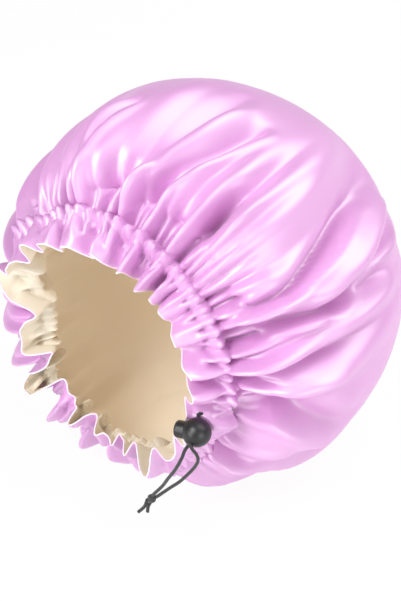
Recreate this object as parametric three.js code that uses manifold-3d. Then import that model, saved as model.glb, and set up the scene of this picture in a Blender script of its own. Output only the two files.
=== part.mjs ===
// Hair bonnet of two satin layers with an elastic drawcord and a ball cord lock.
// It lies on its side, puffed out, with its opening towards -Y and its crown towards +Y.
// Millimetres, +Z up. The origin is the middle of the flattened patch that it rests on.

import * as THREE from 'three';
import Module from 'manifold-3d';
import { mergeVertices } from 'three/addons/utils/BufferGeometryUtils.js';

const wasm = await Module();
wasm.setup();

// Puffed body, measured from the widest ring
const bodyRadius = 136;
const crownDepth = 134;
const frontDepth = 75;
const restSag = 9;
const floorFade = 20;
const bodySlack = 7;
const slackRise = 40;
const slackFade = 60;

// Opening, an oval ring that is pressed in on one side
const rimRadius = 85.5;
const rimSetback = 2;
const rimSwell = 5;
const rimDent = 20;
const rimDentBack = 5;
const swellAngle = 125;
const dentAngle = 187;
const dentHalfAngle = 48;

// Cloth
const clothThickness = 0.7;
const layerGap = 0.7;
const seamGap = 1.1;

// Casing and frill
const casingLength = 11;
const frillLength = 18;
const frillDraw = 7;
const frillSideLean = 11.4;
const frillDrop = 14.3;
const channelSlack = 0.5;

// Gathers and folds
const gatherCount = 26;
const rimGather = 1.7;
const puffGather = 4.2;
const gatherReach = 125;
const puffGrowth = 32;
const frillWave = 6.5;
const foldDepth = 11;

// Elastic drawcord
const cordDiameter = 2.2;
const cordSides = 8;
const cordClearance = 0.3;

// Cord lock
const ballDiameter = 18.4;
const plungerDiameter = 11;
const plungerClearance = 0.3;
const plungerTravel = 3;
const plungerReach = 14.2;
const lockInset = 4.9;
const lockAhead = 30.3;
const lockAngle = -12.4;
const holeAngle = -15;

// Values that the sizes above settle
const axisHeight = bodyRadius - restSag;
const rimForward = frontDepth - rimSetback;
const bandLength = casingLength + frillLength;
const cordRadius = cordDiameter / 2;
const ballRadius = ballDiameter / 2;
const plungerRadius = plungerDiameter / 2;
const layers = 2 * clothThickness + layerGap;
const radians = Math.PI / 180;

// Angles round the opening are in degrees: 0 is +X, 90 is the top.
function turnBetween(angle, other) {
  const turn = (angle - other) % 360;
  return turn > 180 ? turn - 360 : turn < -180 ? turn + 360 : turn;
}

// A smooth hump of height one around the middle, gone at the half width
function hump(distance, halfWidth) {
  const share = Math.min(Math.abs(distance) / halfWidth, 1);
  return Math.cos(share * Math.PI / 2) ** 2;
}

function smoothShare(value, full) {
  const share = Math.min(Math.max(value / full, 0), 1);
  return share * share * (3 - 2 * share);
}

function rimAt(angle) {
  const dent = hump(turnBetween(angle, dentAngle), dentHalfAngle);
  return {
    radius: rimRadius + rimSwell * Math.cos((angle - swellAngle) * radians) - rimDent * dent,
    forward: rimForward - rimDentBack * dent,
    back: rimDentBack * dent,
  };
}

// Arc of the front, from the widest ring round to the stitch row, and runs along the cloth
const frontTurn = Math.PI - Math.asin(rimForward / frontDepth);

function frontMiddle(radius) {
  return (radius - bodyRadius * Math.cos(frontTurn)) / (1 - Math.cos(frontTurn));
}

function arcRun(across, along, turn) {
  return new THREE.EllipseCurve(0, 0, across, along, 0, turn).getLength();
}
const frontRun = arcRun(bodyRadius - frontMiddle(rimRadius), frontDepth, frontTurn);
const crownRun = arcRun(bodyRadius, crownDepth, Math.PI / 2);

// The cloth hangs slack beside the top of the opening and under it, and bulges between the two.
const slackShares = [
  { at: 145, half: 32, deep: 0.9 },
  { at: 202, half: 27, deep: -1.6 },
  { at: 240, half: 40, deep: 1 },
  { at: 292, half: 45, deep: 0.9 },
];

function slackLift(angle, fromRim) {
  const along = smoothShare(fromRim, slackRise) * (1 - smoothShare(fromRim - frontRun, slackFade));
  const deep = slackShares.reduce(
    (sum, slack) => sum + slack.deep * hump(turnBetween(angle, slack.at), slack.half),
    0,
  );
  return -bodySlack * along * deep;
}

// Broad folds that start at the gathers. Places along the cloth are shares of the run from
// the stitch row to the widest ring, and depths are shares of the deepest fold.
const mainFoldShares = [
  { at: 109, turn: -4, from: 0.25, to: 1.1, half: 8, deep: 0.75 },
  { at: 98, turn: -11, from: 0.1, to: 1.5, half: 8, deep: 0.8 },
  { at: 80, turn: -5, from: 0.15, to: 1.3, half: 8, deep: 0.7 },
  { at: 61, turn: 1, from: 0.2, to: 0.9, half: 9, deep: 0.75 },
  { at: 33, turn: 7, from: 0.3, to: 1.9, half: 9, deep: 1 },
  { at: 24, turn: -2, from: 0.15, to: 1.1, half: 8, deep: 0.8 },
  { at: 18, turn: 9, from: 0.7, to: 1.7, half: 8, deep: 0.7 },
  { at: 6, turn: -3, from: 0.15, to: 1, half: 7, deep: 0.6 },
  { at: -5, turn: -9, from: 0.15, to: 1.2, half: 10, deep: 0.9 },
  { at: -38, turn: -4, from: 0.2, to: 1.2, half: 9, deep: 0.6 },
  { at: -62, turn: 5, from: 0.15, to: 0.8, half: 8, deep: 0.5 },
  { at: 145, turn: 7, from: 0.05, to: 0.9, half: 8, deep: 0.7 },
  { at: 165, turn: -5, from: 0.1, to: 1.5, half: 8, deep: 0.7 },
  { at: 186, turn: 6, from: 0.1, to: 1.3, half: 9, deep: 0.8 },
  { at: 208, turn: -4, from: 0.15, to: 1.6, half: 8, deep: 0.7 },
  { at: 230, turn: 5, from: 0.1, to: 1.1, half: 8, deep: 0.6 },
];

function foldLift(angle, fromRim) {
  const along = fromRim / frontRun;
  let lift = 0;
  for (const fold of mainFoldShares) {
    const inside = (along - fold.from) / (fold.to - fold.from);
    if (inside <= 0 || inside >= 1) continue;
    const middle = fold.at + fold.turn * along;
    const rise = Math.sin(Math.PI * inside ** 0.7) ** 0.8;
    lift -= foldDepth * fold.deep * rise * hump(turnBetween(angle, middle), fold.half);
  }
  return lift;
}

// No two gathers stand equally high, and the cloth is nearly smooth beside the buttonhole.
const gatherMeanShare = 0.75;
const gatherSwayShares = [
  { height: 0.17, times: 5, shift: 1 },
  { height: 0.12, times: 9, shift: 0 },
];
const smoothedShare = 0.9;
const smoothedHalfAngle = 22;

function besideHole(angle) {
  return hump(turnBetween(angle, holeAngle), smoothedHalfAngle);
}

function gatherShare(angle) {
  const sway = gatherSwayShares.reduce(
    (sum, { height, times, shift }) => sum + height * Math.sin(times * angle * radians + shift),
    0,
  );
  return (gatherMeanShare + sway) * (1 - smoothedShare * besideHole(angle));
}

// The gathers stand unevenly, apart from those beside the buttonhole: what even steps would
// place at a turn lies a little ahead or behind it, by shares of the step between gathers.
const gatherShiftShares = [
  { size: 0.4, times: 2, shift: 1 },
  { size: 0.2, times: 5, shift: 4 },
  { size: 0.1, times: 9, shift: 2 },
];

function clothAngle(turn) {
  const shift = gatherShiftShares.reduce(
    (sum, sway) => sum + sway.size * Math.sin(sway.times * turn * radians + sway.shift),
    0,
  );
  return turn + 360 / gatherCount * shift * (1 - besideHole(turn));
}

function gatherWave(turn) {
  return Math.cos(gatherCount * turn * radians) * gatherShare(clothAngle(turn));
}

function gatherLift(turn, fromRim) {
  const grown = rimGather + (puffGather - rimGather) * smoothShare(fromRim, puffGrowth);
  return gatherWave(turn) * grown * (1 - smoothShare(fromRim, gatherReach));
}

function place(angle, radius, forward) {
  return new THREE.Vector3(
    radius * Math.cos(angle * radians),
    -forward,
    axisHeight + radius * Math.sin(angle * radians),
  );
}

// The cloth turns forward at the stitch row in a sharp groove, so its layers meet there on
// the slope that halves the groove.
function grooveSlope() {
  const run = Math.hypot((bodyRadius - rimRadius) * Math.sin(frontTurn), frontDepth * Math.cos(frontTurn));
  const lean = frontDepth * Math.cos(frontTurn) / run;
  return Math.sqrt((1 - lean) / (1 + lean));
}
const groove = grooveSlope();

// A point of the body: share 0 is the crown's middle, 1 the widest ring, 2 the stitch row.
// Depth is measured into the cloth from the outer face.
function bodyPoint(turnRound, share, depth) {
  const angle = clothAngle(turnRound);
  const rim = rimAt(angle);
  let radius;
  let forward;
  let acrossRadius;
  let acrossForward;
  let fromRim;
  if (share <= 1) {
    const turn = share * Math.PI / 2;
    radius = bodyRadius * Math.sin(turn);
    forward = -crownDepth * Math.cos(turn);
    acrossRadius = crownDepth * Math.sin(turn);
    acrossForward = -bodyRadius * Math.cos(turn);
    fromRim = frontRun + (1 - share) * crownRun;
  } else {
    const turn = (share - 1) * frontTurn;
    const middle = frontMiddle(rim.radius);
    radius = middle + (bodyRadius - middle) * Math.cos(turn);
    forward = frontDepth * Math.sin(turn) - rim.back * (share - 1) ** 2;
    acrossRadius = frontDepth * Math.cos(turn);
    acrossForward = (bodyRadius - middle) * Math.sin(turn);
    fromRim = (2 - share) * frontRun;
  }
  const across = Math.hypot(acrossRadius, acrossForward);
  const floorHeight = axisHeight + radius * Math.sin(angle * radians);
  const free = smoothShare(floorHeight, floorFade);
  const lift = free * (
    slackLift(angle, fromRim) + foldLift(angle, fromRim) + gatherLift(turnRound, fromRim)
  );
  const atRim = share >= 2;
  const outR = atRim ? 1 : acrossRadius / across;
  const liftF = atRim ? 0 : acrossForward / across;
  const depthF = atRim ? groove : liftF;
  const point = place(
    angle,
    radius + outR * (lift - depth),
    forward + liftF * lift - depthF * depth,
  );
  point.z = Math.max(point.z, depth);
  return point;
}

// Lean of the frill: inwards, and further to one side and down as it hangs
const mostLeanShare = 0.95;
function frillLean(angle) {
  const drawn = frillDraw + frillSideLean * Math.cos(angle * radians) + frillDrop * Math.sin(angle * radians);
  return -Math.asin(Math.min(Math.max(drawn / bandLength, -mostLeanShare), mostLeanShare));
}

// A point of the casing and frill: share 0 is the upper stitch row, 1 the free edge. Away is
// the distance from the middle between the two layers, outwards.
const leanStartShare = 0.35;
const leastBend = 0.001;
function bandPoint(angle, share, away) {
  const rim = rimAt(angle);
  const lean = frillLean(angle);
  const bend = Math.abs(lean) < leastBend ? leastBend : lean;
  const start = leanStartShare * bend;
  const end = (leanStartShare + share) * bend;
  const inward = bandLength / bend * (Math.cos(start) - Math.cos(end));
  const ahead = bandLength / bend * (Math.sin(end) - Math.sin(start));
  return place(
    angle,
    rim.radius - layers / 2 + inward + Math.cos(end) * away,
    rim.forward - groove * layers / 2 + seamGap + ahead - Math.sin(end) * away,
  );
}

// Ball lock beside the rim: its bore points forwards, its button towards the opening.
const boreShares = [0.25, -0.9, -0.35];
const buttonShares = [-0.968, -0.227, -0.108];
const lockPlace = place(lockAngle, rimRadius - lockInset, rimForward + lockAhead);
const boreWay = new THREE.Vector3(...boreShares).normalize();
const sideWay = new THREE.Vector3().crossVectors(boreWay, new THREE.Vector3(...buttonShares)).normalize();
const buttonWay = new THREE.Vector3().crossVectors(sideWay, boreWay);

// The frill gives way round the lock, by the clearance and by how deep the layer lies.
const lockGive = 1.6;
function clearOfLock(point, depth) {
  const fromLock = new THREE.Vector3().subVectors(point, lockPlace);
  const along = Math.min(Math.max(fromLock.dot(buttonWay), 0), plungerReach);
  const nearest = lockPlace.clone().addScaledVector(buttonWay, along);
  const share = smoothShare(along, ballRadius);
  const need = ballRadius + (plungerRadius - ballRadius) * share + lockGive + depth;
  const away = new THREE.Vector3().subVectors(point, nearest);
  const distance = away.length();
  if (distance >= need) return point;
  return nearest.addScaledVector(away, need / distance);
}

// Ruffles of the frill: one to a gather, and on the left wide ones that take up two gathers,
// stand further out and lean inwards.
const wideAngle = 205;
const wideHalfAngle = 80;
const wideRuffleShare = 1.45;
const wideLeanShare = 0.45;
const wideShift = 1;

function ruffleWave(turn) {
  const angle = clothAngle(turn);
  const wide = hump(turnBetween(angle, wideAngle), wideHalfAngle);
  const broad = Math.cos(gatherCount / 2 * turn * radians + wideShift);
  return gatherWave(turn) * (1 - wide) + wideRuffleShare * wide * (broad * gatherShare(angle) - wideLeanShare);
}

// Rows of the casing and frill, as shares of their length, with the frill's wave at each
const bandRowShares = [0, 0.19, 0.38, 0.68, 1];
const frillWaveShares = [0, 0, 0.3, 0.62, 1];
const channelRow = 1;

// One layer of the casing and frill. Side is 1 for the outer satin and -1 for the lining.
function bandRows(side, face) {
  const columns = 4 * gatherCount;
  return bandRowShares.map((share, row) => {
    const points = [];
    for (let column = 0; column < columns; column += 1) {
      const turn = 360 * column / columns;
      const angle = clothAngle(turn);
      const wave = gatherWave(turn);
      const depth = side > 0 ? face * clothThickness : layers - face * clothThickness;
      if (row === 0) {
        const rim = rimAt(angle);
        points.push(place(
          angle,
          rim.radius + rimGather * wave - depth,
          rim.forward + seamGap - groove * depth,
        ));
        continue;
      }
      let away = side * (layerGap / 2 + clothThickness) - side * face * clothThickness;
      if (row === channelRow) {
        away += side * (cordRadius + channelSlack - layerGap / 2);
        away += side * rimGather * (gatherShare(angle) + side * wave) / 2;
      } else {
        away += frillWave * frillWaveShares[row] * ruffleWave(turn);
      }
      points.push(clearOfLock(bandPoint(angle, share, away), depth));
    }
    return points;
  });
}

const crownRowShares = [0.22, 0.45, 0.67, 0.86, 1];
const frontRowShares = [1.2, 1.4, 1.59, 1.76, 1.89, 2];

function crownRows(depth) {
  const columns = 2 * gatherCount;
  return [...crownRowShares, ...frontRowShares].map((share) => {
    const points = [];
    for (let column = 0; column < columns; column += 1) {
      points.push(bodyPoint(360 * column / columns, share, depth));
    }
    return points;
  });
}

// A closed skin between two like grids of rows. Poles close the first row where they are given.
function skin(outer, inner, outerPole, innerPole) {
  const columns = outer[0].length;
  const rows = outer.length;
  const positions = [];
  const faces = [];
  const addRows = (grid) => {
    const first = positions.length / 3;
    grid.forEach((row) => row.forEach((point) => positions.push(point.x, point.y, point.z)));
    return (row, column) => first + row * columns + column % columns;
  };
  const addPoint = (point) => {
    positions.push(point.x, point.y, point.z);
    return positions.length / 3 - 1;
  };
  const outerAt = addRows(outer);
  const innerAt = addRows(inner);
  for (let column = 0; column < columns; column += 1) {
    const next = column + 1;
    for (let row = 0; row < rows - 1; row += 1) {
      const below = row + 1;
      faces.push(outerAt(row, column), outerAt(below, column), outerAt(below, next));
      faces.push(outerAt(row, column), outerAt(below, next), outerAt(row, next));
      faces.push(innerAt(row, column), innerAt(below, next), innerAt(below, column));
      faces.push(innerAt(row, column), innerAt(row, next), innerAt(below, next));
    }
    const last = rows - 1;
    faces.push(outerAt(last, column), innerAt(last, column), innerAt(last, next));
    faces.push(outerAt(last, column), innerAt(last, next), outerAt(last, next));
    if (!outerPole) {
      faces.push(outerAt(0, column), innerAt(0, next), innerAt(0, column));
      faces.push(outerAt(0, column), outerAt(0, next), innerAt(0, next));
    }
  }
  if (outerPole) {
    const outerMiddle = addPoint(outerPole);
    const innerMiddle = addPoint(innerPole);
    for (let column = 0; column < columns; column += 1) {
      faces.push(outerMiddle, outerAt(0, column), outerAt(0, column + 1));
      faces.push(innerMiddle, innerAt(0, column + 1), innerAt(0, column));
    }
  }
  return facingOut(positions, faces);
}

// The same closed body with its faces pointing out
function facingOut(positions, faces) {
  const corner = (index) => new THREE.Vector3().fromArray(positions, 3 * index);
  let volume = 0;
  for (let face = 0; face < faces.length; face += 3) {
    const [first, second, third] = [0, 1, 2].map((step) => corner(faces[face + step]));
    volume += first.dot(second.cross(third));
  }
  if (volume < 0) {
    for (let face = 0; face < faces.length; face += 3) {
      [faces[face + 1], faces[face + 2]] = [faces[face + 2], faces[face + 1]];
    }
  }
  const geometry = new THREE.BufferGeometry();
  geometry.setAttribute('position', new THREE.Float32BufferAttribute(positions, 3));
  geometry.setIndex(faces);
  return geometry;
}

function toSolid(geometry) {
  const bare = geometry.clone();
  bare.deleteAttribute('normal');
  bare.deleteAttribute('uv');
  const merged = mergeVertices(bare);
  return new wasm.Manifold(new wasm.Mesh({
    numProp: 3,
    vertProperties: Float32Array.from(merged.attributes.position.array),
    triVerts: Uint32Array.from(merged.index.array),
  }));
}

function toGeometry(solid) {
  const mesh = solid.getMesh();
  const geometry = new THREE.BufferGeometry();
  geometry.setAttribute('position', new THREE.BufferAttribute(Float32Array.from(mesh.vertProperties), 3));
  geometry.setIndex(new THREE.BufferAttribute(Uint32Array.from(mesh.triVerts), 1));
  return geometry;
}

const bonnet = new THREE.Group();

function addPiece(name, geometry, material, parent = bonnet) {
  const mesh = new THREE.Mesh(geometry, material);
  mesh.name = name;
  parent.add(mesh);
  return mesh;
}

const orchidSatin = new THREE.MeshStandardMaterial({ color: 0xdfa2df, roughness: 0.35, metalness: 0 });
const creamSatin = new THREE.MeshStandardMaterial({ color: 0xe6dcc6, roughness: 0.4, metalness: 0 });
const blackElastic = new THREE.MeshStandardMaterial({ color: 0x1b1b1c, roughness: 0.8, metalness: 0 });
const blackPlastic = new THREE.MeshStandardMaterial({ color: 0x222224, roughness: 0.4, metalness: 0 });
const springSteel = new THREE.MeshStandardMaterial({ color: 0xb9bcc0, roughness: 0.3, metalness: 1 });

// Crown of the outer satin and of the lining, up to the upper stitch row
function crownSkin(depth) {
  return skin(
    crownRows(depth),
    crownRows(depth + clothThickness),
    bodyPoint(0, 0, depth),
    bodyPoint(0, 0, depth + clothThickness),
  );
}
addPiece('outer_crown', crownSkin(0), orchidSatin);
addPiece('lining_crown', crownSkin(clothThickness + layerGap), creamSatin);

// Casing and frill, with the buttonhole in the outer satin for the two strands of cord
const holeLength = 14;
const holeWidth = 5.5;
const overrun = 4;
const channelShare = bandRowShares[channelRow];

function buttonhole() {
  const middle = bandPoint(holeAngle, channelShare, 0);
  const outWay = bandPoint(holeAngle, channelShare, overrun).sub(middle).normalize();
  const roundWay = bandPoint(holeAngle + 1, channelShare, 0).sub(middle).normalize();
  const alongWay = new THREE.Vector3().crossVectors(outWay, roundWay).normalize();
  const block = new THREE.BoxGeometry(holeLength, holeWidth, 2 * overrun);
  block.translate(0, 0, overrun);
  block.applyMatrix4(new THREE.Matrix4().makeBasis(
    new THREE.Vector3().crossVectors(alongWay, outWay),
    alongWay,
    outWay,
  ));
  block.translate(middle.x, middle.y, middle.z);
  return block;
}
const bandSatin = toSolid(skin(bandRows(1, 0), bandRows(1, 1))).subtract(toSolid(buttonhole()));
addPiece('outer_band', toGeometry(bandSatin), orchidSatin);
addPiece('lining_band', skin(bandRows(-1, 1), bandRows(-1, 0)), creamSatin);

// A round tube through the points
function polygon(radius, sides) {
  const corners = [];
  for (let side = 0; side < sides; side += 1) {
    const turn = 2 * Math.PI * side / sides;
    corners.push(new THREE.Vector2(radius * Math.cos(turn), radius * Math.sin(turn)));
  }
  return new THREE.Shape(corners);
}

function tube(curve, radius, sides, steps) {
  return new THREE.ExtrudeGeometry(polygon(radius, sides), { steps, bevelEnabled: false, extrudePath: curve });
}

function cordTube(points) {
  const curve = new THREE.CatmullRomCurve3(points);
  const steps = Math.max(3, Math.ceil(curve.getLength() / (2 * cordDiameter)));
  return tube(curve, cordRadius, cordSides, steps);
}

// The cord runs round inside the casing and stops short of the buttonhole at each end.
const cordEndAngle = 6;
const ringStations = 60;
const ringSteps = 80;
const ringPoints = [];
for (let station = 0; station <= ringStations; station += 1) {
  const angle = holeAngle + cordEndAngle + (360 - 2 * cordEndAngle) * station / ringStations;
  ringPoints.push(bandPoint(angle, channelShare, 0));
}
const ringCurve = new THREE.CatmullRomCurve3(ringPoints);
addPiece('drawcord_in_casing', tube(ringCurve, cordRadius, cordSides, ringSteps), blackElastic);

// Two strands side by side: out of the buttonhole into the lock, and on to the knot
const strandPitch = cordDiameter + cordClearance;
const boreOffset = 2;
const lockMiddle = lockPlace.clone().addScaledVector(buttonWay, boreOffset);
const joinGap = cordClearance;

function lockPoint(along, side) {
  return lockMiddle.clone().addScaledVector(boreWay, along).addScaledVector(sideWay, side * strandPitch / 2);
}

function feedPoints(side) {
  const turn = side * cordEndAngle;
  const firstGap = bandPoint(holeAngle + turn, channelShare, 0)
    .sub(bandPoint(holeAngle + 1.1 * turn, channelShare, 0)).setLength(joinGap);
  return [
    bandPoint(holeAngle + turn, channelShare, 0).add(firstGap),
    bandPoint(holeAngle + 0.6 * turn, channelShare, 0.2 * cordDiameter),
    bandPoint(holeAngle + 0.25 * turn, 1.4 * channelShare, 2 * cordDiameter),
    lockPoint(-1.3 * ballRadius, -1.6 * side),
    lockPoint(-0.9 * ballRadius, -side),
    lockPoint(-joinGap / 2, -side),
  ];
}

// Route of each leg below the lock, from the bore's mouth, chosen by hand
const leftLegRoute = [
  [0.1, -3.8, -2.2], [0.2, -6.3, -5.4], [-1.2, -8.2, -10.6], [-3.9, -9.2, -17],
  [-8, -9.9, -24.5], [-12.4, -10.7, -33],
];
const rightLegRoute = [
  [3.6, -1.2, -0.9], [6.7, -1.4, -2.9], [8.1, -1.3, -5.8], [7.9, -1.3, -9.2], [5.6, -2.2, -14.7],
  [1.4, -3.9, -21.6], [-3, -5.9, -28], [-8, -8, -33.6],
];
const knotFrom = [-11, -8.6, -34];
const knotPlace = [-19.3, -12.3, -45.4];
const leftTailRoute = [[-23, -15.4, -52.2], [-25.8, -18.2, -56.4]];
const rightTailRoute = [[-20.6, -14.6, -51.4], [-20.5, -15.6, -55.2]];
const boreMouth = lockMiddle.clone().addScaledVector(boreWay, ballRadius);

function fromMouth(route) {
  return route.map((step) => boreMouth.clone().add(new THREE.Vector3(...step)));
}

// Overhand knot in both strands: a tight lump, longer across the strands than along them
const knotHeight = 2.6 * cordDiameter;
const knotWidth = 3.4 * cordDiameter;
const knotDepth = 2.4 * cordDiameter;
const knotSpread = strandPitch + cordClearance;
const knotMiddle = fromMouth([knotPlace])[0];
const knotWay = new THREE.Vector3().subVectors(knotMiddle, fromMouth([knotFrom])[0]).normalize();
const knotAcross = new THREE.Vector3().crossVectors(knotWay, boreWay).normalize();

// The middle of a strand's end at the knot: above it for along -1, below it for along 1
function atKnot(along, side) {
  return knotMiddle.clone()
    .addScaledVector(knotWay, along * (knotHeight / 2 + cordClearance))
    .addScaledVector(knotAcross, side * knotSpread / 2);
}

function legPoints(side, route) {
  return [
    lockPoint(joinGap / 2, side),
    lockPoint(0.8 * ballRadius, side),
    ...fromMouth(route),
    atKnot(-1, side),
  ];
}

addPiece('cord_feed_left', cordTube(feedPoints(-1)), blackElastic);
addPiece('cord_feed_right', cordTube(feedPoints(1)), blackElastic);
addPiece('cord_leg_left', cordTube(legPoints(1, leftLegRoute)), blackElastic);
addPiece('cord_leg_right', cordTube(legPoints(-1, rightLegRoute)), blackElastic);

const knotShape = new THREE.SphereGeometry(1, 16, 10).scale(knotWidth / 2, knotHeight / 2, knotDepth / 2);
const knotMesh = addPiece('cord_knot', knotShape, blackElastic);
knotMesh.quaternion.setFromUnitVectors(new THREE.Vector3(0, 1, 0), knotWay);
knotMesh.position.copy(knotMiddle);

addPiece('cord_tail_left', cordTube([atKnot(1, 1), ...fromMouth(leftTailRoute)]), blackElastic);
addPiece('cord_tail_right', cordTube([atKnot(1, -1), ...fromMouth(rightTailRoute)]), blackElastic);

// Ball lock, built along its own axes: X out through the button, Z out through the bore
const lock = new THREE.Group();
lock.quaternion.setFromRotationMatrix(new THREE.Matrix4().makeBasis(buttonWay, sideWay, boreWay));
lock.position.copy(lockPlace);
bonnet.add(lock);

const pocketRadius = plungerRadius + plungerClearance;
const mouthFlat = 6.6;
const pocketFloor = -6.2;
const boreRelief = 1.4;
const boreHeight = cordDiameter + 2 * cordClearance + boreRelief;
const boreWidth = 2 * cordDiameter + 3 * cordClearance;
const slotSpring = boreOffset - cordRadius - cordClearance;
const slotButton = boreOffset + cordRadius + cordClearance + plungerTravel;
const plungerWall = 1;
const springRecess = 1.2;
const plungerFoot = slotSpring - plungerWall - springRecess;
const cutLength = 3 * ballRadius;
const slotCorner = 0.8;

function cylinderX(radius, from, to, sides) {
  const shape = new THREE.CylinderGeometry(radius, radius, to - from, sides);
  return toSolid(shape.rotateZ(-Math.PI / 2).translate((from + to) / 2, 0, 0));
}

// A cut along Z with round ends across Y
function roundSlot(fromX, toX, width) {
  const corner = slotCorner;
  const outline = new THREE.Shape();
  const half = width / 2;
  outline.moveTo(fromX + corner, -half);
  outline.lineTo(toX - corner, -half);
  outline.absarc(toX - corner, -half + corner, corner, -Math.PI / 2, 0);
  outline.lineTo(toX, half - corner);
  outline.absarc(toX - corner, half - corner, corner, 0, Math.PI / 2);
  outline.lineTo(fromX + corner, half);
  outline.absarc(fromX + corner, half - corner, corner, Math.PI / 2, Math.PI);
  outline.lineTo(fromX, -half + corner);
  outline.absarc(fromX + corner, -half + corner, corner, Math.PI, 1.5 * Math.PI);
  const cut = new THREE.ExtrudeGeometry(outline, { depth: cutLength, bevelEnabled: false, curveSegments: 5 });
  return toSolid(cut.translate(0, 0, -cutLength / 2));
}

const boreTop = boreOffset + cordRadius + cordClearance;
const bore = roundSlot(boreTop - boreHeight, boreTop, boreWidth);
const mouthCut = new THREE.BoxGeometry(ballDiameter, cutLength, cutLength)
  .translate(mouthFlat + ballRadius, 0, 0);
const ball = toSolid(new THREE.SphereGeometry(ballRadius, 36, 22))
  .subtract(toSolid(mouthCut))
  .subtract(cylinderX(pocketRadius, pocketFloor, cutLength, 36))
  .subtract(bore);
addPiece('cord_lock_body', toGeometry(ball), blackPlastic, lock);

// Push button with a rounded end, a slot for the strands and a seat for the spring
const buttonRound = 1.4;
const buttonCrown = 0.5;
const springWire = 0.55;
const springRadius = 2.9;
const recessRadius = springRadius + springWire / 2 + plungerClearance;
const buttonProfile = [new THREE.Vector2(0, plungerFoot), new THREE.Vector2(plungerRadius, plungerFoot)];
const roundSteps = 5;
for (let step = 0; step <= roundSteps; step += 1) {
  const turn = Math.PI / 2 * step / roundSteps;
  buttonProfile.push(new THREE.Vector2(
    plungerRadius - buttonRound + buttonRound * Math.cos(turn),
    plungerReach - buttonCrown - buttonRound + buttonRound * Math.sin(turn),
  ));
}
buttonProfile.push(new THREE.Vector2(0, plungerReach));
const plungerBlank = new THREE.LatheGeometry(buttonProfile, 36).rotateZ(-Math.PI / 2);
const plunger = toSolid(plungerBlank)
  .subtract(roundSlot(slotSpring, slotButton, boreWidth))
  .subtract(cylinderX(recessRadius, plungerFoot - overrun, plungerFoot + springRecess, 24));
addPiece('cord_lock_plunger', toGeometry(plunger), blackPlastic, lock);

// Coil spring between the pocket's floor and the plunger's recess
const springTurns = 4;
const springFrom = pocketFloor + springWire / 2 + cordClearance;
const springTo = plungerFoot + springRecess - springWire / 2 - cordClearance;
const springPitch = (springTo - springFrom) / springTurns;

class Coil extends THREE.Curve {
  getPoint(share, target = new THREE.Vector3()) {
    const turn = 2 * Math.PI * springTurns * share;
    return target.set(
      springFrom + (springTo - springFrom) * share,
      springRadius * Math.cos(turn),
      springRadius * Math.sin(turn),
    );
  }
}
addPiece('cord_lock_spring', tube(new Coil(), springWire / 2, 5, 8 * springTurns), springSteel, lock);

// Least gap of the spring to its own next turn, on points along it
let leastGap = Infinity;
const coil = new Coil();
const gapStations = 200;
for (let first = 0; first < gapStations; first += 1) {
  for (let second = first + gapStations / springTurns / 2; second <= gapStations; second += 1) {
    const apart = coil.getPoint(first / gapStations).distanceTo(coil.getPoint(second / gapStations));
    leastGap = Math.min(leastGap, apart - springWire);
  }
}
console.log(`spring: least gap between turns ${leastGap.toFixed(2)} mm at a pitch of ${springPitch.toFixed(2)} mm`);

export default bonnet;
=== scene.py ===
# Hair bonnet: two circles of satin with a gathered casing and frill, an elastic drawcord and a
# ball cord lock. Metres, +Z up. It lies on its side with the opening towards -Y.
import bpy
import bmesh
import math
import numpy as np
from mathutils import Matrix, Vector


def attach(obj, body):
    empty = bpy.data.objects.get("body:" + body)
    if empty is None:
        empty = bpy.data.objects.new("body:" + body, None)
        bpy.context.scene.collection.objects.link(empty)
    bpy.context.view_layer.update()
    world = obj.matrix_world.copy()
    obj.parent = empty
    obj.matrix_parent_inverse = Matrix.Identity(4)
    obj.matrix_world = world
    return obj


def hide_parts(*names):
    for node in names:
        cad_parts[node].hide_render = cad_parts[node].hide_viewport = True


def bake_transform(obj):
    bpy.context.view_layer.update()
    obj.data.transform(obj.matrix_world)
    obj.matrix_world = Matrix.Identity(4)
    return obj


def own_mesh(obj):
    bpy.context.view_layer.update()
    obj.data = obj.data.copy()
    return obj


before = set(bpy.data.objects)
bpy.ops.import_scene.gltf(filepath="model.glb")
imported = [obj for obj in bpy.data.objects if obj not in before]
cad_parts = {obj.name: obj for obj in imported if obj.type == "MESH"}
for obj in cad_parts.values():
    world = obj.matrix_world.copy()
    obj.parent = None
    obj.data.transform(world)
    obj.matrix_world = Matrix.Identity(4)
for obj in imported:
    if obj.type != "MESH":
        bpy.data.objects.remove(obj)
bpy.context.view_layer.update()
mm = 0.001

# Camera: a portrait product shot from the front right and above, about 1.2 m away.
view_azimuth = math.radians(37.3)
view_elevation = math.radians(36)
view_distance = 1200 * mm
view_target = Vector((0, 0, 127 * mm))
frame_right = 2.3 * mm
frame_up = -10.2 * mm
view_back = Vector((
    math.sin(view_azimuth) * math.cos(view_elevation),
    -math.cos(view_azimuth) * math.cos(view_elevation),
    math.sin(view_elevation),
))
view_right = Vector((math.cos(view_azimuth), math.sin(view_azimuth), 0))
view_up = view_back.cross(view_right)
camera_data = bpy.data.cameras.new("camera")
camera_data.lens = 108.9
camera_data.sensor_width = 36
camera = bpy.data.objects.new("camera", camera_data)
bpy.context.scene.collection.objects.link(camera)
camera.matrix_world = Matrix.Translation(
    view_target + view_back * view_distance + view_right * frame_right + view_up * frame_up
) @ Matrix((view_right, view_up, view_back)).transposed().to_4x4()
bpy.context.scene.camera = camera

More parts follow.
